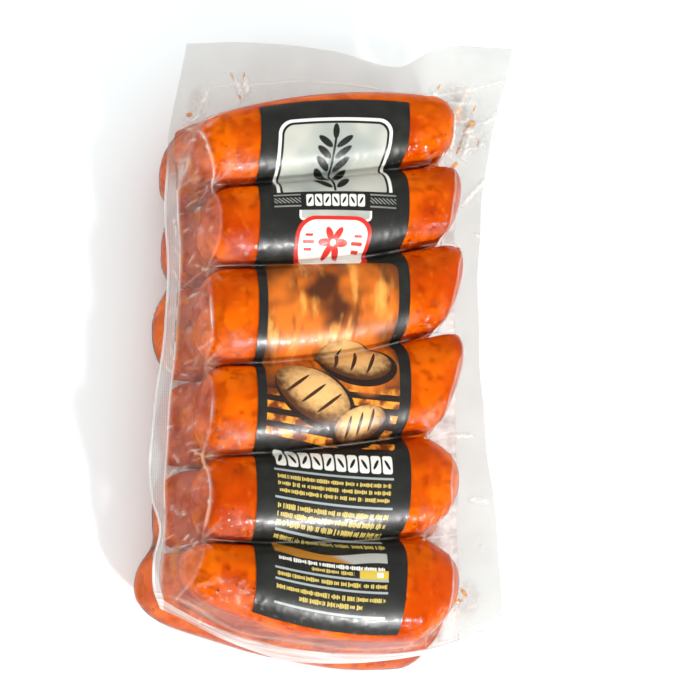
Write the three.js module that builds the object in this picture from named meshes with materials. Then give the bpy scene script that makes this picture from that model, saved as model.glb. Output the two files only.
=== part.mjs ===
// A clear vacuum pack of sausage links, lying on its back.
// Two layers of six links fill a sealed pouch, and a printed strip runs down its front.
// Millimetres. X runs along the links, Y along the pack, Z up. The origin is under the middle of the pack.

import * as THREE from 'three';

// Links

const LINK_HALF_HEIGHT = 15;
const LOWER_AXIS_Z = 15;
const UPPER_AXIS_Z = 45;
const SECTION_POWER = 2.4;
const LEFT_END = { length: 13, power: 2.6 };
const BLUNT = { length: 12, power: 2.4 };
const POINTED = { length: 17, power: 1 };
const TIP_LENGTH = 25;

// The right ends are cut on a slant that comes in over this stretch of x
const SLANT_START_X = 10;
const SLANT_LENGTH = 35;

// Each layer from the top row down: where a link starts and stops along X, the form of its right end,
// how much shorter its lower side is, and how far its tip droops
const UPPER_LINKS = [
  { left: -57, right: 46.5, end: BLUNT, slant: 2, tipDrop: 0 },
  { left: -52.5, right: 50.5, end: BLUNT, slant: 6, tipDrop: 1 },
  { left: -53.5, right: 52, end: BLUNT, slant: 9, tipDrop: 1 },
  { left: -53, right: 52.5, end: BLUNT, slant: 13, tipDrop: 2 },
  { left: -53.5, right: 48.5, end: POINTED, slant: 4, tipDrop: 2 },
  { left: -58, right: 48, end: POINTED, slant: 4, tipDrop: 1 },
];
const LOWER_LINKS = [
  { left: -55, right: 49, end: BLUNT, slant: 6, tipDrop: 1 },
  { left: -54, right: 50, end: BLUNT, slant: 6, tipDrop: 1 },
  { left: -54.5, right: 49, end: BLUNT, slant: 6, tipDrop: 1 },
  { left: -54, right: 50.5, end: BLUNT, slant: 8, tipDrop: 2 },
  { left: -55, right: 49, end: BLUNT, slant: 6, tipDrop: 2 },
  { left: -57, right: 49, end: BLUNT, slant: 6, tipDrop: 2 },
];

// The lines along which neighbouring links press together, from above the top link to below the
// bottom one: y at x = 0, then the rise and the bend over the first 50 mm of x
const SEAM_SPAN = 50;
const SEAMS = [
  { y: 96.6, rise: 8.2, bend: -6.2 },
  { y: 63.8, rise: 10.1, bend: 1.5 },
  { y: 31.8, rise: 9.9, bend: 3.7 },
  { y: -3.6, rise: 11.3, bend: 5.0 },
  { y: -36.9, rise: 8.6, bend: 2.5 },
  { y: -71.3, rise: 4.0, bend: 2.5 },
  { y: -106.0, rise: -4.0, bend: 8.0 },
];

// Film and its sealed edge

const FLANGE_Z = 30;
const FLANGE_THICKNESS = 0.8;
const FILM_PULL = 0.35;
const FLAT_SPOT_DEPTH = 0.6;
const TOP_CORNER_LIFT = 4;
const FLANGE_RIPPLE = 0.7;
const FLANGE_RIPPLE_LENGTH = 34;

// Outer edge of the flange, as points that a smooth curve passes through
const OUTER_LEFT = [[-95, -60.5], [-88, -63], [-78, -63.4], [-67, -61.6], [-56, -64.4], [-39, -65.5],
  [17, -60.2], [54, -61.5], [81, -60.1], [116.5, -53.8]];
const OUTER_RIGHT = [[-99.5, 70], [-66, 69], [-20, 64.2], [26, 62.5], [70, 65.4], [103.4, 71.5], [128.6, 77.6]];
const OUTER_BOTTOM = [[-60.5, -95], [-52.8, -98.2], [-45.2, -101.8], [-38.5, -104.8], [-29, -108.2],
  [-12.8, -112.4], [17.5, -112.2], [48.7, -107], [70, -99.5]];
const OUTER_TOP = [[-53.8, 116.5], [-31.6, 119.2], [4.4, 120.2], [31, 116.9], [46.5, 125.7], [77.6, 128.6]];

// Where the film lifts off the flange and starts up the side of the links
const LIFT_LEFT = [[-92, -59], [-84, -60.6], [-66, -59.3], [-50, -59.4], [-30, -58.7], [0, -56.6],
  [30, -55.3], [62, -56.8], [78, -58], [95, -55.5], [116.5, -50.5]];
const LIFT_BOTTOM = [[-60, -91.5], [-52.8, -95.4], [-45, -99.2], [-38, -102], [-29, -104.9],
  [-3, -108.7], [23, -109], [40, -107], [53, -103.5], [70, -97.5]];
const LIFT_RIGHT_X = 53;
const LIFT_ABOVE = 4;

// The back of the pack sags outwards under the front layer's weight
const SAG = { left: 5, leftMiddle: 2.5, leftCorner: 5, right: 3, bottom: 8, top: 3 };

// Printed strip

const LABEL_LEFT_X = -33.8;
const LABEL_RIGHT_X = 22.6;
const LABEL_GAP = 0.3;
const LABEL_THICKNESS = 0.3;

// Mesh grid: cells between one station line and the next

const COLUMN_CELLS = [2, 4, 3, 6, 3, 7, 3];
const CREST_LEFT_X = -49;
const TAPER_RIGHT_X = 36;
const EDGE_ROW_CELLS = { outer: 2, wall: 3 };
const LINK_ROW_SHARES = [0, 0.04, 0.12, 0.25, 0.42, 0.58, 0.75, 0.88, 0.96];
const LABEL_ROW_MARGIN = { bottom: 1, top: 2 };
const RELAX_STEP = 1.5;
const RELAX_SWEEPS = 500;

function clamp01(value) {
  return Math.min(1, Math.max(0, value));
}

function smooth(value) {
  const t = clamp01(value);
  return t * t * (3 - 2 * t);
}

function bump(value, centre, halfWidth) {
  return smooth(1 - Math.abs(value - centre) / halfWidth);
}

// A smooth function through [position, value] points, level beyond the first and last
function curveThrough(points) {
  return (at) => {
    const last = points.length - 1;
    if (at <= points[0][0]) return points[0][1];
    if (at >= points[last][0]) return points[last][1];
    const i = points.findIndex((point, n) => n < last && at < points[n + 1][0]);
    const slopeAt = (n) => {
      const before = points[Math.max(n - 1, 0)];
      const after = points[Math.min(n + 1, last)];
      return (after[1] - before[1]) / (after[0] - before[0]);
    };
    const width = points[i + 1][0] - points[i][0];
    const t = (at - points[i][0]) / width;
    const t2 = t * t;
    const t3 = t2 * t;
    return points[i][1] * (2 * t3 - 3 * t2 + 1) + points[i + 1][1] * (3 * t2 - 2 * t3)
      + slopeAt(i) * width * (t3 - 2 * t2 + t) + slopeAt(i + 1) * width * (t3 - t2);
  };
}

const outerLeft = curveThrough(OUTER_LEFT);
const outerRight = curveThrough(OUTER_RIGHT);
const outerBottom = curveThrough(OUTER_BOTTOM);
const outerTop = curveThrough(OUTER_TOP);
const liftLeft = curveThrough(LIFT_LEFT);
const liftBottom = curveThrough(LIFT_BOTTOM);

function seamY(index, x) {
  const { y, rise, bend } = SEAMS[index];
  const t = x / SEAM_SPAN;
  return y + rise * t + bend * t * t;
}

// Height of a link's surface above its axis at a point of the plan, or -1 outside the link
function linkRise(link, row, x, y) {
  const tip = smooth((x - link.right + TIP_LENGTH) / TIP_LENGTH);
  const top = seamY(row, x);
  const bottom = seamY(row + 1, x);
  const middle = (top + bottom) / 2 - link.tipDrop * tip;
  const across = (y - middle) / ((top - bottom) / 2);
  const along = x + link.slant * (1 - across) / 2 * smooth((x - SLANT_START_X) / SLANT_LENGTH);
  const intoLeft = clamp01((link.left + LEFT_END.length - x) / LEFT_END.length);
  const intoRight = clamp01((along - link.right + link.end.length) / link.end.length);
  const outside = Math.abs(across) > 1 || x < link.left || along > link.right;
  const filled = 1 - Math.abs(across) ** SECTION_POWER
    - intoLeft ** LEFT_END.power - intoRight ** link.end.power;
  if (outside || filled < 0) return -1;
  return LINK_HALF_HEIGHT * filled ** (1 / SECTION_POWER);
}

function layerRise(links, x, y) {
  return Math.max(...links.map((link, row) => linkRise(link, row, x, y)));
}

function flangeZ(x, y) {
  const corner = smooth((x - 20) / 57) * smooth((y - 80) / 45);
  const ripple = Math.sin((y + 0.4 * x) / FLANGE_RIPPLE_LENGTH * 2 * Math.PI);
  return FLANGE_Z + TOP_CORNER_LIFT * corner + FLANGE_RIPPLE * ripple;
}

function liftTop(x) {
  return seamY(0, x) + LIFT_ABOVE;
}

function insideLift(x, y) {
  return x > liftLeft(y) && x < LIFT_RIGHT_X && y > liftBottom(x) && y < liftTop(x);
}

// Film drawn over one layer of links: it rests on them, spans the gaps as a stretched skin and
// is held at the flange. Side is 1 for the front and -1 for the back.
function drawnFilm(links, axisZ, side) {
  const west = -70;
  const south = -120;
  const columns = Math.ceil(152 / RELAX_STEP);
  const rows = Math.ceil(254 / RELAX_STEP);
  const film = new Float64Array(columns * rows);
  const floor = new Float64Array(columns * rows);
  const free = [];
  for (let j = 0; j < rows; j += 1) {
    for (let i = 0; i < columns; i += 1) {
      const x = west + i * RELAX_STEP;
      const y = south + j * RELAX_STEP;
      const at = j * columns + i;
      const level = side * flangeZ(x, y);
      const rise = layerRise(links, x, y);
      floor[at] = rise < 0 ? level : Math.max(level, side * axisZ + rise);
      film[at] = insideLift(x, y) ? floor[at] : level;
      if (insideLift(x, y)) free.push(at);
    }
  }
  const pull = FILM_PULL * RELAX_STEP ** 2 / 4;
  for (let sweep = 0; sweep < RELAX_SWEEPS; sweep += 1) {
    for (const at of free) {
      const around = (film[at - 1] + film[at + 1] + film[at - columns] + film[at + columns]) / 4;
      film[at] = Math.max(floor[at], around - pull);
    }
  }
  return (x, y) => {
    const fx = (x - west) / RELAX_STEP;
    const fy = (y - south) / RELAX_STEP;
    const i = Math.min(columns - 2, Math.max(0, Math.floor(fx)));
    const j = Math.min(rows - 2, Math.max(0, Math.floor(fy)));
    const u = fx - i;
    const v = fy - j;
    const at = j * columns + i;
    const near = film[at] * (1 - u) + film[at + 1] * u;
    const far = film[at + columns] * (1 - u) + film[at + columns + 1] * u;
    return side * (near * (1 - v) + far * v);
  };
}

// The back's outward sag at mid depth, nothing at the flange and nothing on the ground
function sagged(x, y, z) {
  const depth = (FLANGE_Z - z) / FLANGE_Z;
  const swell = depth > 0.05 ? Math.sin(Math.PI * (depth - 0.05) / 0.95) : 0;
  const left = SAG.left + SAG.leftMiddle * bump(y, 12, 30) + SAG.leftCorner * bump(y, -92, 34);
  const bottom = SAG.bottom * (0.75 + 0.25 * bump(x, 25, 40));
  const dx = SAG.right * smooth((x - 25) / 30) - left * smooth((-x - 30) / 28);
  const dy = SAG.top * smooth((y - 70) / 30) - bottom * smooth((-y - 72) / 34);
  return [x + dx * swell, y + dy * swell, z];
}

// Positions of the grid's lines, as [station, share of the way to the next station]
function linesBetween(cells) {
  const lines = [];
  cells.forEach((count, station) => {
    for (let n = 0; n < count; n += 1) lines.push([station, n / count]);
  });
  lines.push([cells.length - 1, 1]);
  return lines;
}

const COLUMN_STATIONS = [outerLeft, liftLeft, () => CREST_LEFT_X, () => LABEL_LEFT_X, () => LABEL_RIGHT_X,
  () => TAPER_RIGHT_X, () => LIFT_RIGHT_X, outerRight];
const ROW_STATIONS = [outerBottom, liftBottom,
  ...[6, 5, 4, 3, 2, 1, 0].map((index) => (x) => seamY(index, x)),
  liftTop, outerTop];

function rowLines() {
  const { outer, wall } = EDGE_ROW_CELLS;
  const lines = linesBetween([outer, wall]).slice(0, -1);
  for (let link = 0; link < 6; link += 1) {
    LINK_ROW_SHARES.forEach((share) => lines.push([2 + link, share]));
  }
  linesBetween([wall, outer + 1]).forEach(([station, share]) => lines.push([8 + station, share]));
  return lines;
}

function lineValue(stations, [station, share], at) {
  return stations[station](at) * (1 - share) + stations[station + 1](at) * share;
}

// Plan position where a column line crosses a row line
function crossing(column, row) {
  let x = 0;
  let y = 0;
  for (let pass = 0; pass < 12; pass += 1) {
    x = lineValue(COLUMN_STATIONS, column, y);
    y = lineValue(ROW_STATIONS, row, x);
  }
  return [x, y];
}

// A closed sheet from two grids of points that share their outline's columns and rows
function closedSheet(front, back) {
  const rows = front.length;
  const columns = front[0].length;
  const points = [...front.flat(), ...back.flat()];
  const frontAt = (j, i) => j * columns + i;
  const backAt = (j, i) => rows * columns + j * columns + i;
  const faces = [];
  for (let j = 0; j < rows - 1; j += 1) {
    for (let i = 0; i < columns - 1; i += 1) {
      faces.push(frontAt(j, i), frontAt(j, i + 1), frontAt(j + 1, i + 1));
      faces.push(frontAt(j, i), frontAt(j + 1, i + 1), frontAt(j + 1, i));
      faces.push(backAt(j, i), backAt(j + 1, i + 1), backAt(j, i + 1));
      faces.push(backAt(j, i), backAt(j + 1, i), backAt(j + 1, i + 1));
    }
  }
  const edge = [];
  for (let i = 0; i < columns - 1; i += 1) edge.push([0, i]);
  for (let j = 0; j < rows - 1; j += 1) edge.push([j, columns - 1]);
  for (let i = columns - 1; i > 0; i -= 1) edge.push([rows - 1, i]);
  for (let j = rows - 1; j > 0; j -= 1) edge.push([j, 0]);
  edge.forEach((here, n) => {
    const next = edge[(n + 1) % edge.length];
    faces.push(frontAt(...here), backAt(...here), backAt(...next));
    faces.push(frontAt(...here), backAt(...next), frontAt(...next));
  });
  const geometry = new THREE.BufferGeometry();
  geometry.setAttribute('position', new THREE.Float32BufferAttribute(points.flat(), 3));
  geometry.setIndex(faces);
  geometry.computeVertexNormals();
  return geometry;
}

const columns = linesBetween(COLUMN_CELLS);
const rows = rowLines();
const plan = rows.map((row) => columns.map((column) => crossing(column, row)));
const frontFilm = drawnFilm(UPPER_LINKS, UPPER_AXIS_Z, 1);
const backFilm = drawnFilm(LOWER_LINKS, LOWER_AXIS_Z, -1);

function frontPoint([x, y]) {
  const z = Math.max(frontFilm(x, y), flangeZ(x, y) + FLANGE_THICKNESS / 2);
  return [x, y, z];
}

function backPoint([x, y]) {
  const z = Math.min(backFilm(x, y), flangeZ(x, y) - FLANGE_THICKNESS / 2);
  return sagged(x, y, Math.max(z, FLAT_SPOT_DEPTH));
}

function makePouch() {
  const front = plan.map((line) => line.map(frontPoint));
  const back = plan.map((line) => line.map(backPoint));
  const material = new THREE.MeshStandardMaterial({ color: 0xd8600c, roughness: 0.22, metalness: 0 });
  const mesh = new THREE.Mesh(closedSheet(front, back), material);
  mesh.name = 'pouch';
  return mesh;
}

function makeLabel() {
  const firstColumn = columns.findIndex(([station]) => station === 3);
  const lastColumn = columns.findIndex(([station]) => station === 4);
  const firstRow = rows.findIndex(([station]) => station === 2) + LABEL_ROW_MARGIN.bottom;
  const lastRow = rows.findIndex(([station]) => station === 8) - LABEL_ROW_MARGIN.top;
  const patch = plan.slice(firstRow, lastRow + 1).map((line) => line.slice(firstColumn, lastColumn + 1));
  const raised = (gap) => patch.map((line) => line.map((at) => {
    const [x, y, z] = frontPoint(at);
    return [x, y, z + gap];
  }));
  const material = new THREE.MeshStandardMaterial({ color: 0x2a2a28, roughness: 0.3, metalness: 0 });
  const sheet = closedSheet(raised(LABEL_GAP + LABEL_THICKNESS), raised(LABEL_GAP));
  const mesh = new THREE.Mesh(sheet, material);
  mesh.name = 'label';
  return mesh;
}

// The pack stands on its flat spots, with the origin under the middle of its box
const pack = new THREE.Group();
pack.add(makePouch(), makeLabel());
const box = new THREE.Box3().setFromObject(pack);
const middle = box.getCenter(new THREE.Vector3());
pack.position.set(-middle.x, -middle.y, -box.min.z);

export default pack;
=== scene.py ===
"""A clear vacuum pack of sausage links: twelve links, two sheets of film, print and trapped oil.

Shapes are worked out in millimetres in the plan of the pack, and set down in metres in the frame.
"""
import math
from collections import namedtuple

import bpy
from mathutils import Matrix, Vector
import numpy as np


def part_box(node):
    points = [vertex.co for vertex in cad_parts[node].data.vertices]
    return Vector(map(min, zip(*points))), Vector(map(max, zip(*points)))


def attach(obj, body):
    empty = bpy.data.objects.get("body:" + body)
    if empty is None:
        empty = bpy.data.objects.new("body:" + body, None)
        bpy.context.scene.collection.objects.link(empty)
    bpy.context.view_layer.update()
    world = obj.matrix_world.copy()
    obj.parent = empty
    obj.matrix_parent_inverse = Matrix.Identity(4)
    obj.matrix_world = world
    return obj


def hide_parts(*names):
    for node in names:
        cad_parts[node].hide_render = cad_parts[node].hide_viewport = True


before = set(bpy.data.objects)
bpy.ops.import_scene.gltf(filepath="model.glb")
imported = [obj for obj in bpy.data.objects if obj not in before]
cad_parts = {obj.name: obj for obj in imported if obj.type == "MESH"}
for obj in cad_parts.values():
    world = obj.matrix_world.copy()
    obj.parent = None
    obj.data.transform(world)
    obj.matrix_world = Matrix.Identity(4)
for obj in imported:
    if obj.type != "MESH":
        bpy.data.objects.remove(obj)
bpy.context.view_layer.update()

# Links, as in the solid

LINK_HALF_HEIGHT = 15.0
LOWER_AXIS_Z = 15.0
UPPER_AXIS_Z = 45.0
SECTION_POWER = 2.4
LEFT_END = {"length": 13.0, "power": 2.6}
BLUNT = {"length": 12.0, "power": 2.4}
POINTED = {"length": 17.0, "power": 1.0}
TIP_LENGTH = 25.0
SLANT_START_X = 10.0
SLANT_LENGTH = 35.0

# From the top row down: left end, right end and its form, how much shorter the lower side is, how far
# the tip droops
Link = namedtuple("Link", "left right end slant droop")
UPPER_LINKS = [
    Link(-57, 46.5, BLUNT, 2, 0),
    Link(-52.5, 50.5, BLUNT, 6, 1),
    Link(-53.5, 52, BLUNT, 9, 1),
    Link(-53, 52.5, BLUNT, 13, 2),
    Link(-53.5, 48.5, POINTED, 4, 2),
    Link(-58, 48, POINTED, 4, 1),
]
LOWER_LINKS = [
    Link(-55, 49, BLUNT, 6, 1),
    Link(-54, 50, BLUNT, 6, 1),
    Link(-54.5, 49, BLUNT, 6, 1),
    Link(-54, 50.5, BLUNT, 8, 2),
    Link(-55, 49, BLUNT, 6, 2),
    Link(-57, 49, BLUNT, 6, 2),
]

# Lines along which neighbouring links press together: y at x = 0, rise and bend over the first 50 mm
SEAM_SPAN = 50.0
SEAMS = [
    (96.6, 8.2, -6.2),
    (63.8, 10.1, 1.5),
    (31.8, 9.9, 3.7),
    (-3.6, 11.3, 5.0),
    (-36.9, 8.6, 2.5),
    (-71.3, 4.0, 2.5),
    (-106.0, -4.0, 8.0),
]
INNER_SEAMS = range(1, 6)

# Film

FLANGE_Z = 30.0
FLAT_SPOT_DEPTH = 0.6
TOP_CORNER_LIFT = 4.0
TOP_CORNER_START = (20.0, 80.0)
TOP_CORNER_REACH = (57.0, 45.0)
FLANGE_RIPPLE = 0.7
FLANGE_RIPPLE_LENGTH = 34.0
FLANGE_RIPPLE_LEAN = 0.4
SHEET_GAP = 0.15
FILM_PULL = 0.35
WALL_PULL = 0.04
SEAM_PULL = 1.6
END_PULL = 0.6
END_PULL_START = 32.0
END_PULL_REACH = 12.0
CONTACT_GAP = 0.1
LINK_INSET = 0.4
OUTER_LEFT = [(-95, -60.5), (-88, -63), (-78, -63.4), (-67, -61.6), (-56, -64.4), (-39, -65.5),
              (17, -60.2), (54, -61.5), (81, -60.1), (116.5, -53.8)]
OUTER_RIGHT = [(-99.5, 70), (-66, 69), (-20, 64.2), (26, 62.5), (70, 65.4), (103.4, 71.5), (128.6, 77.6)]
OUTER_BOTTOM = [(-60.5, -95), (-52.8, -98.2), (-45.2, -101.8), (-38.5, -104.8), (-29, -108.2),
                (-12.8, -112.4), (17.5, -112.2), (48.7, -107), (70, -99.5)]
OUTER_TOP = [(-53.8, 116.5), (-31.6, 119.2), (4.4, 120.2), (31, 116.9), (46.5, 125.7), (77.6, 128.6)]
LIFT_LEFT = [(-92, -59), (-84, -60.6), (-66, -59.3), (-50, -59.4), (-30, -58.7), (0, -56.6), (30, -55.3),
             (62, -56.8), (78, -58), (95, -55.5), (116.5, -50.5)]
LIFT_BOTTOM = [(-60, -91.5), (-52.8, -95.4), (-45, -99.2), (-38, -102), (-29, -104.9), (-3, -108.7),
               (23, -109), (40, -107), (53, -103.5), (70, -97.5)]
CREST_LEFT = [(-94, -56.5), (-87, -55.2), (-71, -50.6), (-41, -50), (-6, -49.3), (16, -50.4), (36, -47.6),
              (57, -49.2), (71, -53.5), (84, -55), (95, -52.5), (116.5, -47.5)]
SEAL_LINE = [(-48, 98), (-31, 102.4), (-10, 106.5), (41, 106.5), (64, 110.8), (74, 114)]
LIFT_RIGHT_X = 53.0
TAPER_RIGHT_X = 38.0
LIFT_ABOVE = 4.0

# How far the back sags outwards, and where along the left side it sags more: middle and half width
SAG = {"left": 5.0, "left_middle": 2.5, "left_corner": 5.0, "right": 3.0, "bottom": 8.0, "top": 3.0}
SAG_LEFT_MIDDLE = (12.0, 30.0)
SAG_LEFT_CORNER = (-92.0, 34.0)
SAG_START = 0.05

# Printed strip

LABEL_LEFT = [(-98, -34.2), (85, -33.4)]
LABEL_RIGHT = [(-104, 19.6), (-69, 22.4), (-30, 23.3), (60, 23.4), (92, 24.0)]
LABEL_PINCH = 0.7
LABEL_SIZE = (56.0, 187.0)
LABEL_DEPTH = 0.12
PRINT_EDGE = 0.12
DASH_PITCH = 0.66
WORD_PITCH = 5.2
MIDDLE_U = LABEL_SIZE[0] / 2
PLAQUE_V = 164.0
HEADING_V = 149.4
BADGE_V = 134.5
PICTURE = (27.5, 95.0)
LOWER_HEADING_V = 56.9
RIBBON_V = 24.4

# Thin rules: height and half length. Rows of dashes: height, half length and half height
RULES = [(52.0, 21.5), (42.0, 21.5), (31.2, 20.5), (17.6, 21.0), (13.6, 21.0), (5.4, 21.0)]
DASH_ROWS = [(49.6, 20.5, 0.8), (47.1, 20.5, 0.8), (44.6, 20.5, 0.8), (39.2, 20.5, 1.0), (36.3, 20.5, 1.0),
             (33.5, 20.5, 1.0), (29.2, 20.5, 0.75), (15.6, 20.5, 0.85), (11.0, 20.5, 0.9), (8.3, 12.0, 0.9)]

# Bread rolls in the print's picture: middle, half length, half width and turn
ROLLS = [(36, 93, 13.0, 7.0, -0.12), (20, 80, 14.5, 8.6, -0.5), (38, 71, 9.5, 5.6, 0.35)]

# Detail of the meshes and how many rounds each fit takes

LINK_RINGS = 96
LINK_SIDES = 80
SLANT_ROUNDS = 24
GRID_ROUNDS = 12
COARSE_ROUNDS = 500
FRONT_ROUNDS = 260
BACK_ROUNDS = 120
NOISE_CELLS = 64
NOISE_SHIFT = (17.3, 9.1)

# Looks and stage, with places and sizes of the stage in metres

FILM_IOR = 1.13
PRINT_UNDER_FILM = 0.72
BACK_HAZE = 0.6
KNURL_TURNS = 4.6
FLOOR_SIZE = 6.0
FLOOR_GAP = 0.0004
KEY_PLACE = (0.6, -1.35, 1.1)
KEY_SIZE = (0.15, 0.12)
WORLD_STRENGTH = 1.03

# Camera, from the photo

TILT_X = math.radians(18)
TILT_Y = math.radians(12)
DISTANCE = 740.0
PIXELS_PER_MM = 2.70
IMAGE = 700.0
TARGET_PIXEL = (325.0, 355.0)
TARGET_Z = 32.0
SENSOR = 36.0

MM = 0.001
corner_y, corner_x = OUTER_RIGHT[-1]
pouch_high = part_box("pouch")[1]
FRAME_SHIFT = np.array([corner_x - pouch_high.x / MM, corner_y - pouch_high.y / MM, FLAT_SPOT_DEPTH])


# Numbers over the plan


def smooth(value):
    t = np.clip(value, 0.0, 1.0)
    return t * t * (3 - 2 * t)


def bump(value, centre, half_width):
    return smooth(1 - np.abs(value - centre) / half_width)


def curve_through(points):
    """A smooth function through (position, value) points, level beyond the first and last."""
    at, value = np.array(points, float).T
    before = np.maximum(np.arange(len(at)) - 1, 0)
    after = np.minimum(np.arange(len(at)) + 1, len(at) - 1)
    slope = (value[after] - value[before]) / (at[after] - at[before])

    def curve(position):
        position = np.clip(np.asarray(position, float), at[0], at[-1])
        i = np.clip(np.searchsorted(at, position, side="right") - 1, 0, len(at) - 2)
        width = at[i + 1] - at[i]
        t = (position - at[i]) / width
        t2 = t * t
        t3 = t2 * t
        ends = value[i] * (2 * t3 - 3 * t2 + 1) + value[i + 1] * (3 * t2 - 2 * t3)
        return ends + slope[i] * width * (t3 - 2 * t2 + t) + slope[i + 1] * width * (t3 - t2)

    return curve


def between_points(grid, column, row, u, v):
    """A grid's value between four of its points, counting round its edges."""
    rows, columns = grid.shape
    left, right = column % columns, (column + 1) % columns
    low, high = row % rows, (row + 1) % rows
    near = grid[low, left] * (1 - u) + grid[low, right] * u
    far = grid[high, left] * (1 - u) + grid[high, right] * u
    return near * (1 - v) + far * v


def noise(x, y, size, seed):
    """Smooth random values from 0 to 1 over the plan, with lumps of about the given size."""
    lattice = np.random.default_rng(seed).random((NOISE_CELLS, NOISE_CELLS))
    fx = np.asarray(x, float) / size + NOISE_SHIFT[0]
    fy = np.asarray(y, float) / size + NOISE_SHIFT[1]
    i = np.floor(fx).astype(int)
    j = np.floor(fy).astype(int)
    return between_points(lattice, i, j, smooth(fx - i), smooth(fy - j))


def creases(x, y, size, seed):
    """Sharp random ridges from 0 to 1 over the plan."""
    first = 1 - np.abs(2 * noise(x, y, size, seed) - 1)
    second = 1 - np.abs(2 * noise(x, y, size * 0.45, seed + 1) - 1)
    return 0.65 * first ** 4 + 0.35 * second ** 4


seal_line = curve_through(SEAL_LINE)
outer_left = curve_through(OUTER_LEFT)
outer_right = curve_through(OUTER_RIGHT)
outer_bottom = curve_through(OUTER_BOTTOM)
outer_top = curve_through(OUTER_TOP)
lift_left = curve_through(LIFT_LEFT)
lift_bottom = curve_through(LIFT_BOTTOM)
crest_left = curve_through(CREST_LEFT)


def seam_y(index, x):
    y, rise, bend = SEAMS[index]
    t = np.asarray(x, float) / SEAM_SPAN
    return y + rise * t + bend * t * t


def near_seam(x, y, half_width):
    """1 on a line between two links, falling to 0 at half_width from it."""
    return np.max([bump(y, seam_y(k, x), half_width) for k in INNER_SEAMS], axis=0)


def link_middle(link, row, x):
    """Middle and half width of a link where its length crosses x."""
    tip = smooth((x - link.right + TIP_LENGTH) / TIP_LENGTH)
    top = seam_y(row, x)
    bottom = seam_y(row + 1, x)
    return (top + bottom) / 2 - link.droop * tip, (top - bottom) / 2


def end_slant(link, x, across):
    """How much shorter a link is at a place across it, from -1 at its lower side to 1 at its upper."""
    return link.slant * (1 - across) / 2 * smooth((x - SLANT_START_X) / SLANT_LENGTH)


def link_filled(link, x, along):
    """How full a link's section is, from 0 at its ends to 1."""
    into_left = np.clip((link.left + LEFT_END["length"] - x) / LEFT_END["length"], 0, 1)
    into_right = np.clip((along - link.right + link.end["length"]) / link.end["length"], 0, 1)
    filled = 1 - into_left ** LEFT_END["power"] - into_right ** link.end["power"]
    return np.where((x < link.left) | (along > link.right), 0, np.maximum(filled, 0))


def layer_rise(links, x, y):
    """Height of a layer of links above its axis, or -1 where there is none."""
    rise = np.full(np.shape(x), -1.0)
    for row, link in enumerate(links):
        middle, half = link_middle(link, row, x)
        across = np.clip((y - middle) / half, -1, 1)
        filled = link_filled(link, x, x + end_slant(link, x, across))
        left_over = filled - np.abs(across) ** SECTION_POWER
        here = LINK_HALF_HEIGHT * np.maximum(left_over, 0) ** (1 / SECTION_POWER)
        rise = np.maximum(rise, np.where(left_over > 0, here, -1.0))
    return rise


def from_right_end(x, y):
    """How far inside the right end of its front link a place is, and how far across the link."""
    distance = np.full(np.shape(x), -100.0)
    place = np.ones(np.shape(x))
    for row, link in enumerate(UPPER_LINKS):
        middle, half = link_middle(link, row, x)
        across = (y - middle) / half
        here = np.abs(across) <= 1
        distance = np.where(here, link.right - x - end_slant(link, x, across), distance)
        place = np.where(here, across, place)
    return distance, place


def flange_z(x, y):
    across = smooth((x - TOP_CORNER_START[0]) / TOP_CORNER_REACH[0])
    corner = across * smooth((y - TOP_CORNER_START[1]) / TOP_CORNER_REACH[1])
    ripple = np.sin((y + FLANGE_RIPPLE_LEAN * x) / FLANGE_RIPPLE_LENGTH * 2 * math.pi)
    return FLANGE_Z + TOP_CORNER_LIFT * corner + FLANGE_RIPPLE * ripple


def sagged(points):
    """The back's outward sag at mid depth, nothing at the flange and nothing on the ground."""
    x, y, z = points[..., 0], points[..., 1], points[..., 2]
    depth = (FLANGE_Z - z) / FLANGE_Z
    share = np.clip((depth - SAG_START) / (1 - SAG_START), 0, 1)
    swell = np.where(depth > SAG_START, np.sin(math.pi * share), 0)
    left = SAG["left"] + SAG["left_middle"] * bump(y, *SAG_LEFT_MIDDLE)
    left = left + SAG["left_corner"] * bump(y, *SAG_LEFT_CORNER)
    bottom = SAG["bottom"] * (0.75 + 0.25 * bump(x, 25, 40))
    dx = SAG["right"] * smooth((x - 25) / 30) - left * smooth((-x - 30) / 28)
    dy = SAG["top"] * smooth((y - 70) / 30) - bottom * smooth((-y - 72) / 34)
    return np.stack([x + dx * swell, y + dy * swell, z], axis=-1)


# Meshes


def to_frame(points):
    return (np.asarray(points, float).reshape(-1, 3) - FRAME_SHIFT) * MM


def add_object(name, data):
    item = bpy.data.objects.new(name, data)
    bpy.context.scene.collection.objects.link(item)
    return item


def make_piece(name, points, faces, material, values=None, uv=None):
    """A smooth mesh piece from plan points in millimetres, riding on the pack."""
    mesh = bpy.data.meshes.new(name)
    mesh.from_pydata(to_frame(points).tolist(), [], [tuple(f) for f in faces])
    mesh.validate()
    mesh.polygons.foreach_set("use_smooth", [True] * len(mesh.polygons))
    for key, array in (values or {}).items():
        attribute = mesh.attributes.new(key, "FLOAT", "POINT")
        attribute.data.foreach_set("value", np.ravel(array).astype(np.float32))
    if uv is not None:
        layer = mesh.uv_layers.new(name="Print")
        corners = np.zeros(len(mesh.loops), int)
        mesh.loops.foreach_get("vertex_index", corners)
        layer.data.foreach_set("uv", np.reshape(uv, (-1, 2))[corners].astype(np.float32).ravel())
    mesh.update()
    piece = add_object(name, mesh)
    mesh.materials.append(material)
    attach(piece, "root")
    return piece


def grid_faces(rows, columns, flip=False, wrap=False):
    """Quads over a grid of points, joined round its second side if wrap is set."""
    j = np.arange(rows - 1)[:, None]
    i = np.arange(columns if wrap else columns - 1)[None, :]
    a = j * columns + i
    b = j * columns + (i + 1) % columns
    quads = np.stack([a, b, b + columns, a + columns], axis=-1).reshape(-1, 4)
    return (quads[:, ::-1] if flip else quads).tolist()


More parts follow.
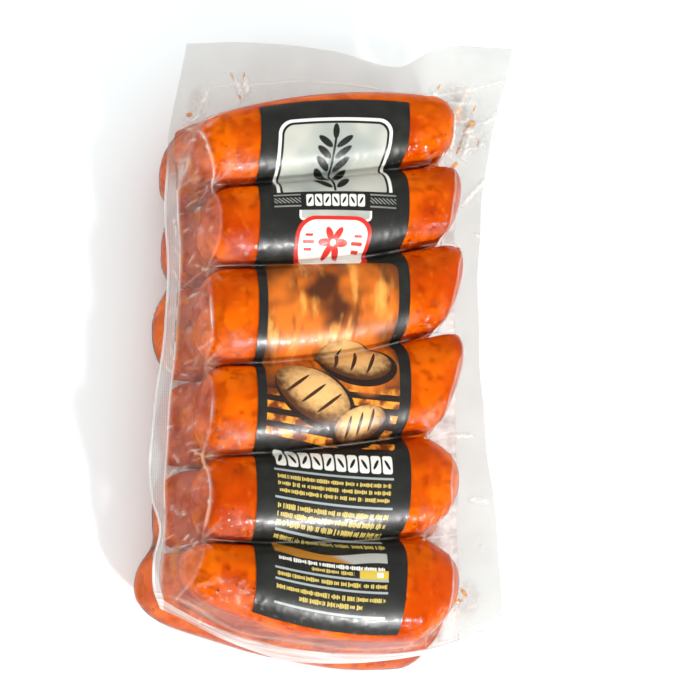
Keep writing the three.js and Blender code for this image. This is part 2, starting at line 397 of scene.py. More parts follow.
def grid_normals(points):
    across = np.gradient(points, axis=1)
    along = np.gradient(points, axis=0)
    normal = np.cross(across, along)
    return normal / (np.linalg.norm(normal, axis=-1, keepdims=True) + 1e-9)


# Station grid: film lines that follow the edges, the print and the lines between links


def label_edge(points, side):
    base = curve_through(points)

    def edge(y):
        x = base(y)
        return x - side * LABEL_PINCH * near_seam(x, y, 7.0)

    return edge


def label_bottom(x):
    return seam_y(6, x) + 2.2


def label_top(x):
    return seam_y(0, x) - 5.2 - 0.06 * (x + 4)


COLUMN_STATIONS = [
    outer_left,
    lift_left,
    crest_left,
    label_edge(LABEL_LEFT, -1),
    label_edge(LABEL_RIGHT, 1),
    lambda y: np.full(np.shape(y), TAPER_RIGHT_X),
    lambda y: np.full(np.shape(y), LIFT_RIGHT_X),
    outer_right,
]
ROW_STATIONS = [
    outer_bottom,
    lift_bottom,
    lambda x: seam_y(6, x),
    label_bottom,
    *[lambda x, k=k: seam_y(k, x) for k in (5, 4, 3, 2, 1)],
    label_top,
    lambda x: seam_y(0, x),
    lambda x: seam_y(0, x) + LIFT_ABOVE,
    outer_top,
]

# Stations at the edges of the print, and at the edges of the film that lifts off the seal
LABEL_COLUMNS = (3, 4)
LABEL_ROWS = (3, 9)
LIFT_COLUMNS = (1, 6)
LIFT_ROWS = (1, 11)

# How many cells lie between neighbouring column stations, and between neighbouring row stations
FRONT_CELLS = ([12, 32, 26, 84, 24, 44, 24], [10, 12, 5, 42, 44, 44, 44, 44, 40, 10, 12, 26])
BACK_CELLS = ([4, 16, 12, 40, 12, 18, 8], [4, 8, 3, 20, 22, 22, 22, 22, 20, 5, 8, 8])
LINK_ROWS = range(3, 9)
SEAM_DENSITY = 0.55


def lines_between(cells, dense=()):
    """Station index and share for every grid line, closer together near both ends of a dense stretch."""
    stations, shares = [], []
    for station, count in enumerate(cells):
        for n in range(count):
            t = n / count
            if station in dense:
                t -= SEAM_DENSITY * math.sin(2 * math.pi * t) / (2 * math.pi)
            stations.append(station)
            shares.append(t)
    return np.array([*stations, len(cells) - 1]), np.array([*shares, 1.0])


def first_line(cells, station):
    return sum(cells[:station])


def line_range(cells, stations):
    """The grid lines from one station to another, both of them counted."""
    return slice(first_line(cells, stations[0]), first_line(cells, stations[1]) + 1)


def between_stations(curves, position, station, share):
    """Where grid lines run that lie a share of the way from one curve to the next."""
    values = np.stack([np.broadcast_to(curve(position), position.shape) for curve in curves])
    low = np.take_along_axis(values, np.broadcast_to(station, position.shape)[None], 0)[0]
    high = np.take_along_axis(values, np.broadcast_to(station + 1, position.shape)[None], 0)[0]
    return low * (1 - share) + high * share


def station_grid(cells):
    """Plan points where the column lines cross the row lines."""
    column_station, column_share = (a[None, :] for a in lines_between(cells[0]))
    row_station, row_share = (a[:, None] for a in lines_between(cells[1], LINK_ROWS))
    x = np.zeros((row_station.size, column_station.size))
    y = np.zeros_like(x)
    for _ in range(GRID_ROUNDS):
        x = between_stations(COLUMN_STATIONS, y, column_station, column_share)
        y = between_stations(ROW_STATIONS, x, row_station, row_share)
    return x, y


def film_pull(x, y):
    """How hard the vacuum pulls the film in: less on the tented left wall, more at the right ends."""
    wall = smooth((x - crest_left(y) + 2) / 4)
    between_links = SEAM_PULL * near_seam(x, y, 4.0) * smooth((x - crest_left(y)) / 10)
    ends = END_PULL * smooth((x - END_PULL_START) / END_PULL_REACH)
    return WALL_PULL + (FILM_PULL - WALL_PULL) * wall + between_links + ends


def relax(height, floor, pull, free, spacing, rounds):
    """Draws a skin tight over a floor, on a grid with uneven spacing."""
    west, east, south, north = spacing
    to_west = 2 / (west * (west + east))
    to_east = 2 / (east * (west + east))
    to_south = 2 / (south * (south + north))
    to_north = 2 / (north * (south + north))
    total = to_west + to_east + to_south + to_north
    inner = height[1:-1, 1:-1]
    open_floor = floor[1:-1, 1:-1]
    open_pull = pull[1:-1, 1:-1]
    open_free = free[1:-1, 1:-1]
    for _ in range(rounds):
        pulled = (
            to_west * height[1:-1, :-2] + to_east * height[1:-1, 2:]
            + to_south * height[:-2, 1:-1] + to_north * height[2:, 1:-1] - open_pull
        ) / total
        inner[open_free] = np.maximum(open_floor, pulled)[open_free]
    return height


def coarse_film(links, axis_z, side, step=1.2):
    """A function that reads the skin drawn on an even grid, as a start for the fine one."""
    x, y = np.meshgrid(np.arange(-72, 84, step), np.arange(-120, 136, step))
    level = side * flange_z(x, y)
    rise = layer_rise(links, x, y)
    floor = np.where(rise < 0, level, np.maximum(level, side * axis_z + rise))
    free = (x > lift_left(y)) & (x < LIFT_RIGHT_X) & (y > lift_bottom(x)) & (y < seam_y(0, x) + LIFT_ABOVE)
    height = np.where(free, floor, level)
    spacing = [np.full((x.shape[0] - 2, x.shape[1] - 2), step)] * 4
    relax(height, floor, film_pull(x, y), free, spacing, COARSE_ROUNDS)

    def read(px, py):
        fx = np.clip((px - x[0, 0]) / step, 0, x.shape[1] - 1.001)
        fy = np.clip((py - y[0, 0]) / step, 0, x.shape[0] - 1.001)
        i = fx.astype(int)
        j = fy.astype(int)
        return between_points(height, i, j, fx - i, fy - j)

    return read


def drawn_film(links, axis_z, side, cells, rounds):
    """One sheet of film as a grid of points, with the room between it and the links."""
    x, y = station_grid(cells)
    level = side * flange_z(x, y)
    rise = layer_rise(links, x, y)
    contents = np.where(rise < 0, -100.0, side * axis_z + rise)
    floor = np.maximum(level + SHEET_GAP / 2, contents + CONTACT_GAP)
    free = np.zeros(x.shape, bool)
    left, right = (first_line(cells[0], station) for station in LIFT_COLUMNS)
    bottom, top = (first_line(cells[1], station) for station in LIFT_ROWS)
    free[bottom + 1:top, left + 1:right] = True
    start = np.maximum(coarse_film(links, axis_z, side)(x, y), floor)
    height = np.where(free, start, level + SHEET_GAP / 2)
    step_x = np.hypot(np.diff(x, axis=1), np.diff(y, axis=1))
    step_y = np.hypot(np.diff(x, axis=0), np.diff(y, axis=0))
    spacing = (step_x[1:-1, :-1], step_x[1:-1, 1:], step_y[:-1, 1:-1], step_y[1:, 1:-1])
    relax(height, floor, film_pull(x, y), free, spacing, rounds)
    room = np.clip(height - contents, 0, 20)
    return np.stack([x, y, side * height], axis=-1), room, free


# Folds and wrinkles of the front sheet

SEAM_STARS = 6
END_FOLD = 5.6
PATCH_FULL = 30

# Patches of small folds: middle, half width, half height and how many
FOLD_PATCHES = [(53, 97, 9, 14, 46), (62, 92, 6, 9, 10), (-50, 91, 3.5, 8, 12), (-32, 101, 3.5, 6, 10),
                (55, -88, 7, 7, 14), (39, -98, 7, 5, 8), (44, 104, 8, 4, 10), (-54, -30, 4, 50, 46),
                (-54, 45, 4, 35, 34), (-46, -92, 10, 7, 12)]

# Single folds: from (x, y), to (x, y), half width, height
FOLDS = [
    (48.6, -26.9, 61.2, -26.9, 0.7, 0.7), (55.9, -51.1, 66.1, -51.8, 0.8, 0.7),
    (61.3, -68.2, 64.1, -69.2, 0.6, 0.5), (60.9, 52.0, 64.2, 51.5, 0.6, 0.5),
    (54.0, 61.0, 69.3, 77.8, 0.8, 0.8), (64.0, 96.0, 73.5, 102.2, 0.7, 0.7),
    (-31.5, 107.0, -30.0, 97.5, 0.7, 0.8), (-36.5, 106.6, -31.0, 96.5, 0.6, 0.7),
    (-52.5, 84.0, -48.0, 90.0, 0.6, 0.7), (-50.0, 88.0, -44.5, 101.0, 0.6, 0.5),
    (-47.0, 86.0, -46.0, 100.0, 0.5, 0.4), (52.0, 84.0, 53.5, 100.0, 0.7, 0.9),
    (50.0, 92.0, 60.0, 112.0, 0.6, 0.6), (46.0, 98.0, 44.0, 112.0, 0.6, 0.6),
    (41.0, 100.5, 37.0, 108.0, 0.6, 0.5), (56.0, 80.0, 60.5, 96.0, 0.5, 0.6),
    (48.0, 104.0, 66.0, 104.5, 0.6, 0.5), (58.0, 90.0, 66.0, 94.0, 0.5, 0.4),
]

# Lines along the bottom seal: how far above the line where the film lifts, and height
BOTTOM_LINES = [(-0.2, 0.45), (-1.7, 0.35), (-3.0, 0.3), (1.6, 0.25)]


def ridge(x, y, fold):
    """A tapered ridge along a straight line over the plan."""
    x0, y0, x1, y1, half_width, height = fold
    length = math.hypot(x1 - x0, y1 - y0)
    along = ((x - x0) * (x1 - x0) + (y - y0) * (y1 - y0)) / length
    wander = 0.25 * half_width * np.sin(along * 1.9 + x0)
    across = ((y - y0) * (x1 - x0) - (x - x0) * (y1 - y0)) / length + wander
    taper = smooth(along / (0.3 * length)) * smooth((length - along) / (0.3 * length))
    return height * taper * np.exp(-((across / half_width) ** 2))


def seam_stars():
    """Short folds that fan out where a line between links meets the left crest or the right ends."""
    random = np.random.default_rng(11)
    folds = []
    for index in INNER_SEAMS:
        for side in (-1, 1):
            x0 = float(crest_left(seam_y(index, -50))) if side < 0 else 38.0 - 2.0 * abs(index - 2)
            y0 = float(seam_y(index, x0))
            for _ in range(SEAM_STARS):
                turn = random.uniform(-1.3, 1.3)
                reach = random.uniform(3.5, 9.0)
                direction = -side if random.random() < 0.6 else side
                x1 = x0 + direction * reach * math.cos(turn)
                y1 = y0 + reach * math.sin(turn)
                folds.append((x0, y0, x1, y1, random.uniform(0.28, 0.45), random.uniform(0.15, 0.4)))
    return folds


def fold_patches():
    """Small folds at random in each patch."""
    random = np.random.default_rng(13)
    folds = []
    for cx, cy, half_x, half_y, count in FOLD_PATCHES:
        for _ in range(count):
            x0 = cx + half_x * random.uniform(-1, 1)
            y0 = cy + half_y * random.uniform(-1, 1)
            turn = random.uniform(0, 2 * math.pi)
            reach = random.uniform(1.5, 6.0)
            x1, y1 = x0 + reach * math.cos(turn), y0 + reach * math.sin(turn)
            folds.append((x0, y0, x1, y1, random.uniform(0.3, 0.5), random.uniform(0.2, 0.6)))
    return folds


def line(distance, half_width):
    """A thin ridge, 1 high, along the line where the distance is 0."""
    return np.exp(-((distance / half_width) ** 2))


def end_fold_place(x, y):
    """How far inside the right ends the film starts to stand off."""
    wander = 3.0 * (noise(x, y, 8, 61) - 0.5) + 0.6 * (noise(x, y, 2.5, 62) - 0.5)
    return END_FOLD + wander - 3.0 * smooth((y - 72) / 8)


def lower_flank(x, y):
    """1 where a front link turns down towards the link below it."""
    masks = [smooth((y - seam_y(k, x)) / 2) * bump(y, seam_y(k, x) + 4, 9.0) for k in range(1, 7)]
    return np.max(masks, axis=0)


def left_lines(x, y, crest):
    """The fold and the groove along the left crest, and the rims of the left seal."""
    along = smooth((y + 96) / 6) * smooth((88 - y) / 6)
    fold = along * line(x - crest, 0.35) * (0.35 + 0.65 * smooth((noise(x, y, 9, 23) - 0.3) / 0.3))
    groove = along * line(x - crest - 1.2, 0.45)
    rims = line(x - lift_left(y), 0.35) + line(x - outer_left(y) - 0.6, 0.3)
    return fold, groove, rims * smooth((74 - y) / 10) * smooth((y + 92) / 8)


def bottom_lines(x, y):
    """The wavy lines along the bottom seal."""
    above = y - lift_bottom(x)
    return sum(height * line(above - offset - 0.35 * np.sin(x / 7 + offset * 2), 0.35)
               for offset, height in BOTTOM_LINES)


def seam_lines(x, y, crest, free):
    """The broken line of light where two front links meet."""
    wander = 0.5 * (noise(x, y, 6, 63) - 0.5)
    lines = np.max([line(y - seam_y(k, x) - wander, 0.28) for k in INNER_SEAMS], axis=0)
    broken = smooth((noise(x, y, 6, 65) - 0.3) / 0.4)
    return lines * smooth((x - crest) / 3) * smooth((48 - x) / 4) * broken * free


def film_detail(x, y, free):
    """How far the front sheet stands proud of its drawn form, in millimetres, and where it is painted pale:
    folded film that is milkier, with painted highlights along the folds and the lines between links.
    """
    ridges = sum(ridge(x, y, fold) for fold in FOLDS + seam_stars() + fold_patches())
    crest = crest_left(y) + 0.6 * (noise(x, y, 7, 21) - 0.5)
    crest_fold, groove, rims = left_lines(x, y, crest)
    bottom = bottom_lines(x, y)
    centre = seam_lines(x, y, crest, free)

    ends = np.clip(bump(x, -40, 16) + bump(x, 34, 14), 0, 1)
    crinkle = creases(x, y, 3.6, 31) * near_seam(x, y, 4.0) * (0.15 + 0.25 * ends)
    turned_x, turned_y = 1.5 * x + 0.4 * y, 0.7 * y - 0.3 * x
    pucker = creases(turned_x, turned_y, 4.2, 33) * lower_flank(x, y) * (0.2 + 0.2 * ends)
    inside = smooth((x + 54) / 4) * smooth((50 - x) / 4) * free
    flat = 1.0 - free
    slack = flat * (0.35 * creases(x, y, 14.0, 41) + 0.12 * noise(x, y, 5.0, 43))
    seal = line(y - seal_line(x) - 0.5 * np.sin(x / 9), 0.5) * smooth((x + 48) / 8) * flat
    end, across = from_right_end(x, y)
    end_fold = line(end - end_fold_place(x, y), 0.38) * smooth((1 - np.abs(across)) / 0.25)

    detail = ridges + 0.5 * crest_fold - 0.3 * groove + 0.3 * rims + bottom + slack + 0.35 * end_fold
    detail = detail + 0.4 * seal + (crinkle + pucker + 0.05 * noise(x, y, 5, 37)) * inside
    # Painted pale: folds, rims, seal and tip lines are milkier folded film and also carry painted
    # highlights; the lines between links are painted highlights only.
    pale_folds_and_glints = 1.2 * ridges + crest_fold + 0.8 * rims + 1.2 * bottom + 0.9 * end_fold + 0.7 * seal + 0.8 * centre
    return detail, np.clip(pale_folds_and_glints, 0, 1)


# Shader building


def new_node(tree, kind, inputs=None, **settings):
    """A shader node whose inputs are joined to fields or sockets, or set to plain values."""
    node = tree.nodes.new("ShaderNode" + kind)
    for key, value in settings.items():
        setattr(node, key, value)
    for key, value in (inputs or {}).items():
        source = value.socket if isinstance(value, Field) else value
        if isinstance(source, bpy.types.NodeSocket):
            tree.links.new(source, node.inputs[key])
        else:
            node.inputs[key].default_value = value
    return node


def operation(name):
    """A method that feeds a field, and what it is given, to a math node."""
    return lambda field, *others: field.made(0, "Math", dict(enumerate((field, *others))), operation=name)


class Field:
    """A number that varies over a surface, with ordinary arithmetic."""

    def __init__(self, tree, socket):
        self.tree = tree
        self.socket = socket

    def made(self, output, kind, inputs, **settings):
        return Field(self.tree, new_node(self.tree, kind, inputs, **settings).outputs[output])

    __add__ = operation("ADD")
    __sub__ = operation("SUBTRACT")
    __mul__ = operation("MULTIPLY")
    __truediv__ = operation("DIVIDE")
    power = operation("POWER")
    least = operation("MINIMUM")
    most = operation("MAXIMUM")
    size = operation("ABSOLUTE")
    floor = operation("FLOOR")
    fraction = operation("FRACT")
    sine = operation("SINE")

    def flipped(self):
        return self * -1.0 + 1.0

    def random(self, other):
        """A random number from 0 to 1 for each pair of numbers."""
        pair = new_node(self.tree, "CombineXYZ", {"X": self, "Y": other})
        return self.made("Value", "TexWhiteNoise", {"Vector": pair.outputs["Vector"]}, noise_dimensions="2D")

    def between(self, low, high):
        """0 below low, 1 above high and a smooth step from one to the other."""
        inputs = {"Value": self, "From Min": low, "From Max": high}
        return self.made("Result", "MapRange", inputs, interpolation_type="SMOOTHSTEP")


class Paint:
    """The nodes of one material."""

    def __init__(self, name):
        self.material = bpy.data.materials.new(name)
        self.material.use_nodes = True
        self.tree = self.material.node_tree
        self.tree.nodes.clear()
        self.output = self.node("OutputMaterial")

    def node(self, kind, inputs=None, **settings):
        return new_node(self.tree, kind, inputs, **settings)

    def field(self, output, kind, inputs=None, **settings):
        return Field(self.tree, self.node(kind, inputs, **settings).outputs[output])

    def attribute(self, name):
        return self.field("Fac", "Attribute", attribute_name=name)

    def place(self):
        return self.node("TexCoord").outputs["Object"]

    def parts(self, vector):
        """A vector's first two parts."""
        node = self.node("SeparateXYZ", {"Vector": vector})
        return Field(self.tree, node.outputs["X"]), Field(self.tree, node.outputs["Y"])

    def plan(self, map_name, size):
        """The two map coordinates, in millimetres."""
        across, up = self.parts(self.node("UVMap", uv_map=map_name).outputs["UV"])
        return across * size[0], up * size[1]

    def noise(self, scale, detail=3.0, vector=None, roughness=0.5, stretch=None):
        vector = vector or self.place()
        if stretch:
            vector = self.node("Mapping", {"Vector": vector, "Scale": stretch}).outputs["Vector"]
        inputs = {"Vector": vector, "Scale": scale, "Detail": detail, "Roughness": roughness}
        return self.field("Fac", "TexNoise", inputs)

    def cells(self, scale):
        return self.field("Distance", "TexVoronoi", {"Vector": self.place(), "Scale": scale})

    def mix(self, share, first, second):
        """A colour between two others, by the colour sockets of a mix node."""
        return self.node("Mix", {0: share, 6: first, 7: second}, data_type="RGBA").outputs[2]

    def blend(self, share, first, second):
        """A surface between two others."""
        return self.node("MixShader", {0: share, 1: first, 2: second}).outputs[0]

    def bump(self, height, strength, distance):
        inputs = {"Height": height, "Strength": strength, "Distance": distance * MM}
        return self.node("Bump", inputs).outputs["Normal"]

    def finish(self, surface):
        self.tree.links.new(surface, self.output.inputs["Surface"])
        return self.material


def shape_group(name, inputs, build):
    """A node group that works out a mask from numbers."""
    tree = bpy.data.node_groups.new(name, "ShaderNodeTree")
    for key in inputs.split():
        tree.interface.new_socket(key, in_out="INPUT", socket_type="NodeSocketFloat")
    tree.interface.new_socket("mask", in_out="OUTPUT", socket_type="NodeSocketFloat")
    source = tree.nodes.new("NodeGroupInput")
    target = tree.nodes.new("NodeGroupOutput")
    mask = build(*[Field(tree, source.outputs[key]) for key in inputs.split()])
    tree.links.new(mask.socket, target.inputs[0])
    return tree


def inside(distance):
    """1 where a distance from an outline is below 0, with a soft edge."""
    return distance.between(-PRINT_EDGE, PRINT_EDGE).flipped()


def box_mask(u, v, cu, cv, half_u, half_v, radius):
    du = ((u - cu).size() - (half_u - radius)).most(0.0)
    dv = ((v - cv).size() - (half_v - radius)).most(0.0)
    return inside((du * du + dv * dv).power(0.5) - radius)


def oval_mask(u, v, cu, cv, half_u, half_v, cosine, sine):
    pu = ((u - cu) * cosine + (v - cv) * sine) / half_u
    pv = ((v - cv) * cosine - (u - cu) * sine) / half_v
    return inside(((pu * pu + pv * pv).power(0.5) - 1.0) * half_v)


def dash_mask(u, v, cv, half_u, rise, seed):
    """A row of short dashes of uneven height, as close-set as small print."""
    cell = (u / DASH_PITCH).floor()
    word = u / WORD_PITCH + seed * 0.37
    stroke = cell.random(seed).between(0.05, 0.08)
    gap = (u / DASH_PITCH).fraction().between(0.12, 0.3) * word.fraction().between(0.05, 0.12)
    reach = (v - cv).size() + cell.random(seed + 31.0) * rise * 0.5 - rise
    return inside((u - MIDDLE_U).size() - half_u) * stroke * gap * reach.between(-0.1, 0.1).flipped()


def colour(red, green, blue):
    """A colour given as 0 to 255 screen values."""
    screen = [value / 255 for value in (red, green, blue)]
    return (*[v / 12.92 if v <= 0.04 else ((v + 0.055) / 1.055) ** 2.4 for v in screen], 1.0)


def casing_material():
    paint = Paint("casing")
    broad = paint.noise(38, 2)
    fine = paint.noise(240, 4, roughness=0.6)
    tone = paint.mix(broad.between(0.35, 0.65), colour(196, 70, 1), colour(230, 106, 1))
    tone = paint.mix(paint.noise(110, 3).between(0.5, 0.62) * 0.5, tone, colour(168, 50, 2))
    tone = paint.mix(fine.between(0.5, 0.68) * 0.6, tone, colour(150, 44, 1))
    tone = paint.mix(paint.noise(520, 2).between(0.6, 0.72) * 0.35, tone, colour(246, 146, 24))
    specks = paint.cells(260).between(0.08, 0.16).flipped() * paint.noise(90, 1).between(0.46, 0.56)
    tone = paint.mix(specks * 0.8, tone, colour(84, 40, 12))
    skin = paint.node("BsdfPrincipled", {
        "Base Color": tone,
        "Roughness": 0.42,
        "Subsurface Weight": 0.08,
        "Subsurface Scale": 0.003,
        "Specular IOR Level": 0.0,
        "Normal": paint.bump(fine + paint.noise(900, 2) * 0.4, 0.35, 0.25),
    })
    skin.inputs["Subsurface Radius"].default_value = (1.0, 0.28, 0.08)
    return paint.finish(skin.outputs[0])


def film_material(front):
    """Clear film: glossy, clear on the links, milky where it stands off them, knurled in the left seal; its
    milk also carries painted highlights and painted shade.
    """
    paint = Paint("film_front" if front else "film_back")
    room, flange, knurl, wall, band = map(paint.attribute, ("room", "flange", "knurl", "wall", "band"))
    along_x, along_y = (part / MM for part in paint.parts(paint.place()))
    hatch = ((along_x + along_y) * KNURL_TURNS).sine() * ((along_x - along_y) * KNURL_TURNS).sine()
    cloud = paint.noise(60, 3)
    mottle = paint.noise(130, 4, roughness=0.6).between(0.35, 0.65)
    loose = room.between(0.7, 3.0).most(wall) * flange.flipped()
    haze = loose * (cloud * 0.2 + mottle * 0.2 + 0.05) * (1.0 if front else BACK_HAZE)
    # Painted shade: more milk towards the right of the flange greys it there.
    haze = haze + flange * (cloud * 0.16 + along_x.between(30, 60) * 0.1 + 0.15)
    haze = haze + knurl * (hatch * 0.1 + 0.25) + band * (cloud * 0.28 + 0.14)
    relief = paint.noise(700, 2) * 0.25 + hatch * knurl * 0.8
    smudge = wall * paint.noise(110, 4).between(0.54, 0.7)
    tone = paint.mix(knurl.most(band), colour(188, 187, 182), colour(226, 230, 230))
    tone = paint.mix(loose * 0.8, tone, colour(204, 166, 152))
    tone = paint.mix(loose * mottle * 0.9, tone, colour(112, 58, 44))
    if front:
        fold, beyond, crumples_and_shade, printed = map(paint.attribute, ("fold", "beyond", "crumples_and_shade", "printed"))
        bare = printed * -PRINT_UNDER_FILM + 1.0
        flank = paint.attribute("flank") * bare
        # Painted highlights: a sheen on the lower flanks and by the left crest, and small white glints on
        # the flanks, whitening the milk.
        near_crest = along_x.between(-54.5, -50.5) * along_x.between(-45.5, -37.5).flipped()
        glare = flank * (paint.noise(150, 3).between(0.52, 0.72) + near_crest * cloud * 1.3)
        painted_glints = flank * paint.noise(420, 2, roughness=0.7).between(0.6, 0.68)
        amber = beyond * paint.noise(190, 3).between(0.58, 0.72) * 0.6
        haze = haze + fold * 0.48 + glare * 0.12 + painted_glints * 0.36 + amber * 0.25
        haze = haze + beyond * (cloud * 0.2 + 0.06) + crumples_and_shade * (mottle * 0.42 + 0.12)
        relief = relief + paint.noise(420, 3, roughness=0.65) * (flank * 4.0 + 0.5)
        smudge = smudge + fold * paint.noise(90, 2).between(0.45, 0.6) * flange.flipped()
        smudge = smudge + crumples_and_shade * paint.noise(170, 3).between(0.56, 0.66) * 0.8 + amber
        # Painted shade: greyer milk in the crumpled patches.
        tone = paint.mix(crumples_and_shade * 0.75, tone, colour(140, 129, 118))
        # Near white along folds: milkier folded film with a painted highlight.
        tone = paint.mix(fold * 0.8, tone, colour(250, 244, 238))
    tone = paint.mix(smudge.least(1.0) * 0.75, tone, colour(226, 150, 60))
    normal = paint.bump(relief, 0.7, 0.14)
    clear = paint.node("BsdfTransparent", {"Color": (0.975, 0.970, 0.965, 1)})
    milk = paint.node("BsdfDiffuse", {"Color": tone, "Normal": normal})
    shine = paint.node("BsdfGlossy", {"Color": (1, 1, 1, 1), "Roughness": 0.06, "Normal": normal})
    mirror = paint.field(0, "Fresnel", {"IOR": FILM_IOR, "Normal": normal})
    if front:
        mirror = mirror * bare
    body = paint.blend(haze, clear.outputs[0], milk.outputs[0])
    return paint.finish(paint.blend(mirror, body, shine.outputs[0]))


def oil_material():
    paint = Paint("oil")
    tone = paint.mix(paint.noise(300, 2).between(0.35, 0.65), colour(246, 178, 56), colour(228, 122, 20))
    skin = paint.node("BsdfPrincipled", {"Base Color": tone, "Roughness": 0.12, "Alpha": 0.85})
    return paint.finish(skin.outputs[0])


def floor_material():
    paint = Paint("floor")
    tone = paint.mix(paint.noise(3, 2), (0.85, 0.905, 0.91, 1), (0.88, 0.935, 0.94, 1))
    skin = paint.node("BsdfDiffuse", {"Color": tone})
    return paint.finish(skin.outputs[0])


BLACK = colour(26, 27, 25)
WHITE = colour(236, 236, 228)
GOLD = colour(206, 184, 96)
RED = colour(206, 44, 34)


class StripPaint(Paint):
    """The printed strip's nodes, with masks placed in millimetres from its lower left corner."""

    def __init__(self, name):
        super().__init__(name)
        self.u, self.v = self.plan("Print", LABEL_SIZE)
        self.box_group = shape_group("box", "u v cu cv half_u half_v radius", box_mask)
        self.oval_group = shape_group("oval", "u v cu cv half_u half_v cosine sine", oval_mask)
        self.dash_group = shape_group("dashes", "u v cv half_u rise seed", dash_mask)

    def mask(self, group, *numbers):
        """The mask that a shape's group works out from the place and these numbers."""
        return self.field(0, "Group", dict(enumerate((self.u, self.v, *numbers))), node_tree=group)

    def box(self, cu, cv, half_u, half_v, radius=0.0):
        return self.mask(self.box_group, cu, cv, half_u, half_v, radius)

    def oval(self, cu, cv, half_u, half_v, turn=0.0):
        return self.mask(self.oval_group, cu, cv, half_u, half_v, math.cos(turn), math.sin(turn))

    def dashes(self, cv, half_u, rise, seed):
        return self.mask(self.dash_group, cv, half_u, rise, seed)

    def beads(self, left, right, cv, half_v, count):
        """A row of chunky rounded blocks, each with a leaf cut out of it."""
        pitch = (right - left) / count
        for index in range(count):
            cu = left + pitch * (index + 0.5)
            yield self.box(cu, cv, pitch * 0.42, half_v, pitch * 0.2), WHITE
            yield self.oval(cu, cv, pitch * 0.13, half_v * 0.62, 0.5 if index % 2 else -0.5), BLACK


def plaque(art, silver):
    """A silver plaque with a sprig of leaves."""
    for inset, ink in ((0.0, WHITE), (1.2, BLACK), (2.1, silver)):
        yield art.box(MIDDLE_U, PLAQUE_V, 21.5 - inset, 15.5 - inset, 5.0 - inset * 2 / 3), ink
    yield art.box(MIDDLE_U, PLAQUE_V - 1.5, 0.45, 9.5, 0.4), BLACK
    for step in range(5):
        for side in (-1, 1):
            yield art.oval(MIDDLE_U + side * 3.6, PLAQUE_V - 7.5 + 3.6 * step, 3.4, 1.15, side * 0.62), BLACK
    yield art.oval(MIDDLE_U, PLAQUE_V + 10.5, 1.2, 2.8), BLACK


def heading_band(art, silver):
    """White blocks between two hatched bars, over the plaque's lower edge."""
    yield art.box(MIDDLE_U, HEADING_V - 2.9, 13.6, 4.6, 1.6), WHITE
    yield art.box(MIDDLE_U, HEADING_V - 2.5, 12.8, 4.4, 1.2), silver
    yield art.box(MIDDLE_U, HEADING_V - 0.2, 24.0, 3.6, 0.3), BLACK
    hatching = ((art.u + art.v * 1.2) * 4.2).sine().between(-0.1, 0.3)
    for bar_u in (MIDDLE_U - 17.9, MIDDLE_U + 17.9):
        yield art.box(bar_u, HEADING_V, 4.9, 1.0) * hatching, silver
        for rule_v in (HEADING_V - 2.2, HEADING_V + 2.2):
            yield art.box(bar_u, rule_v, 4.9, 0.25), silver
    yield from art.beads(16.8, 39.2, HEADING_V, 2.3, 7)


def badge(art):
    """A white badge with a red border and a red flower."""
    yield art.box(MIDDLE_U, BADGE_V, 14.5, 9.0, 7.0), RED
    yield art.box(MIDDLE_U, BADGE_V, 13.0, 7.6, 6.0), WHITE
    for petal in range(6):
        turn = petal * math.pi / 3
        place = (MIDDLE_U + 3.1 * math.cos(turn), BADGE_V + 3.1 * math.sin(turn))
        yield art.oval(*place, 2.7, 1.25, turn), RED
    yield art.oval(MIDDLE_U, BADGE_V, 1.1, 1.1), WHITE
    for side in (-1, 1):
        for rise, half_u, half_v in ((0, 2.2, 0.55), (2.3, 1.5, 0.45), (-2.3, 1.5, 0.45)):
            yield art.box(MIDDLE_U + side * 9.4, BADGE_V + rise, half_u, half_v, 0.3), RED


def picture(art):
    """A glowing field: warm haze above, a bed of embers below and bread rolls over them."""
    u, v = art.u, art.v
    field = art.box(*PICTURE, 24.2, 33, 3.0)
    plane = art.node("CombineXYZ", {"X": u, "Y": v}).outputs[0]
    glow = art.mix(art.noise(0.055, 2, plane).between(0.34, 0.6), colour(84, 40, 14), colour(222, 116, 28))
    light = art.noise(0.16, 3, plane, stretch=(1.0, 0.35, 1.0)).between(0.5, 0.72) * 0.85
    glow = art.mix(light, glow, colour(246, 176, 84))
    dark = art.noise(0.2, 3, plane, stretch=(1.0, 0.3, 1.0)).between(0.54, 0.72) * 0.7
    glow = art.mix(dark, glow, colour(80, 38, 14))
    corner = (((u - 27.5) / 25.0).power(2.0) + ((v - 104) / 27.0).power(2.0)).between(0.75, 1.5)
    yield field, art.mix(corner * 0.8, glow, colour(52, 28, 14))

    ember = art.mix(art.noise(0.22, 3, plane).between(0.4, 0.62), colour(110, 50, 14), colour(250, 158, 48))
    rungs = ((v + u * 0.04) / 4.6).fraction().between(0.5, 0.56)
    bed = field * (v + (u * 0.35).sine() * 1.2).between(80, 84).flipped()
    yield bed, art.mix(rungs, ember, colour(34, 24, 18))

    grain = (art.noise(0.5, 3, plane) - 0.5) * 0.9
    for cu, cv, half_u, half_v, turn in ROLLS:
        yield field * art.oval(cu + 0.8, cv - 1.2, half_u + 1.2, half_v + 1.2, turn), colour(34, 22, 14)
        c, s = math.cos(turn), math.sin(turn)
        pu = ((u - cu) * c + (v - cv) * s) / half_u
        pv = ((v - cv) * c - (u - cu) * s) / half_v - 0.25
        rim = (pu * pu + pv * pv + grain).between(0.0, 1.25)
        crust = art.mix(rim, colour(232, 184, 118), colour(84, 46, 20))
        yield field * art.oval(cu, cv, half_u, half_v, turn), crust
        for cut in (-0.45, 0.0, 0.45):
            place = (cu + cut * half_u * c, cv + cut * half_u * s)
            yield field * art.oval(*place, 0.6, half_v * 0.66, turn - 0.4), colour(70, 40, 20)


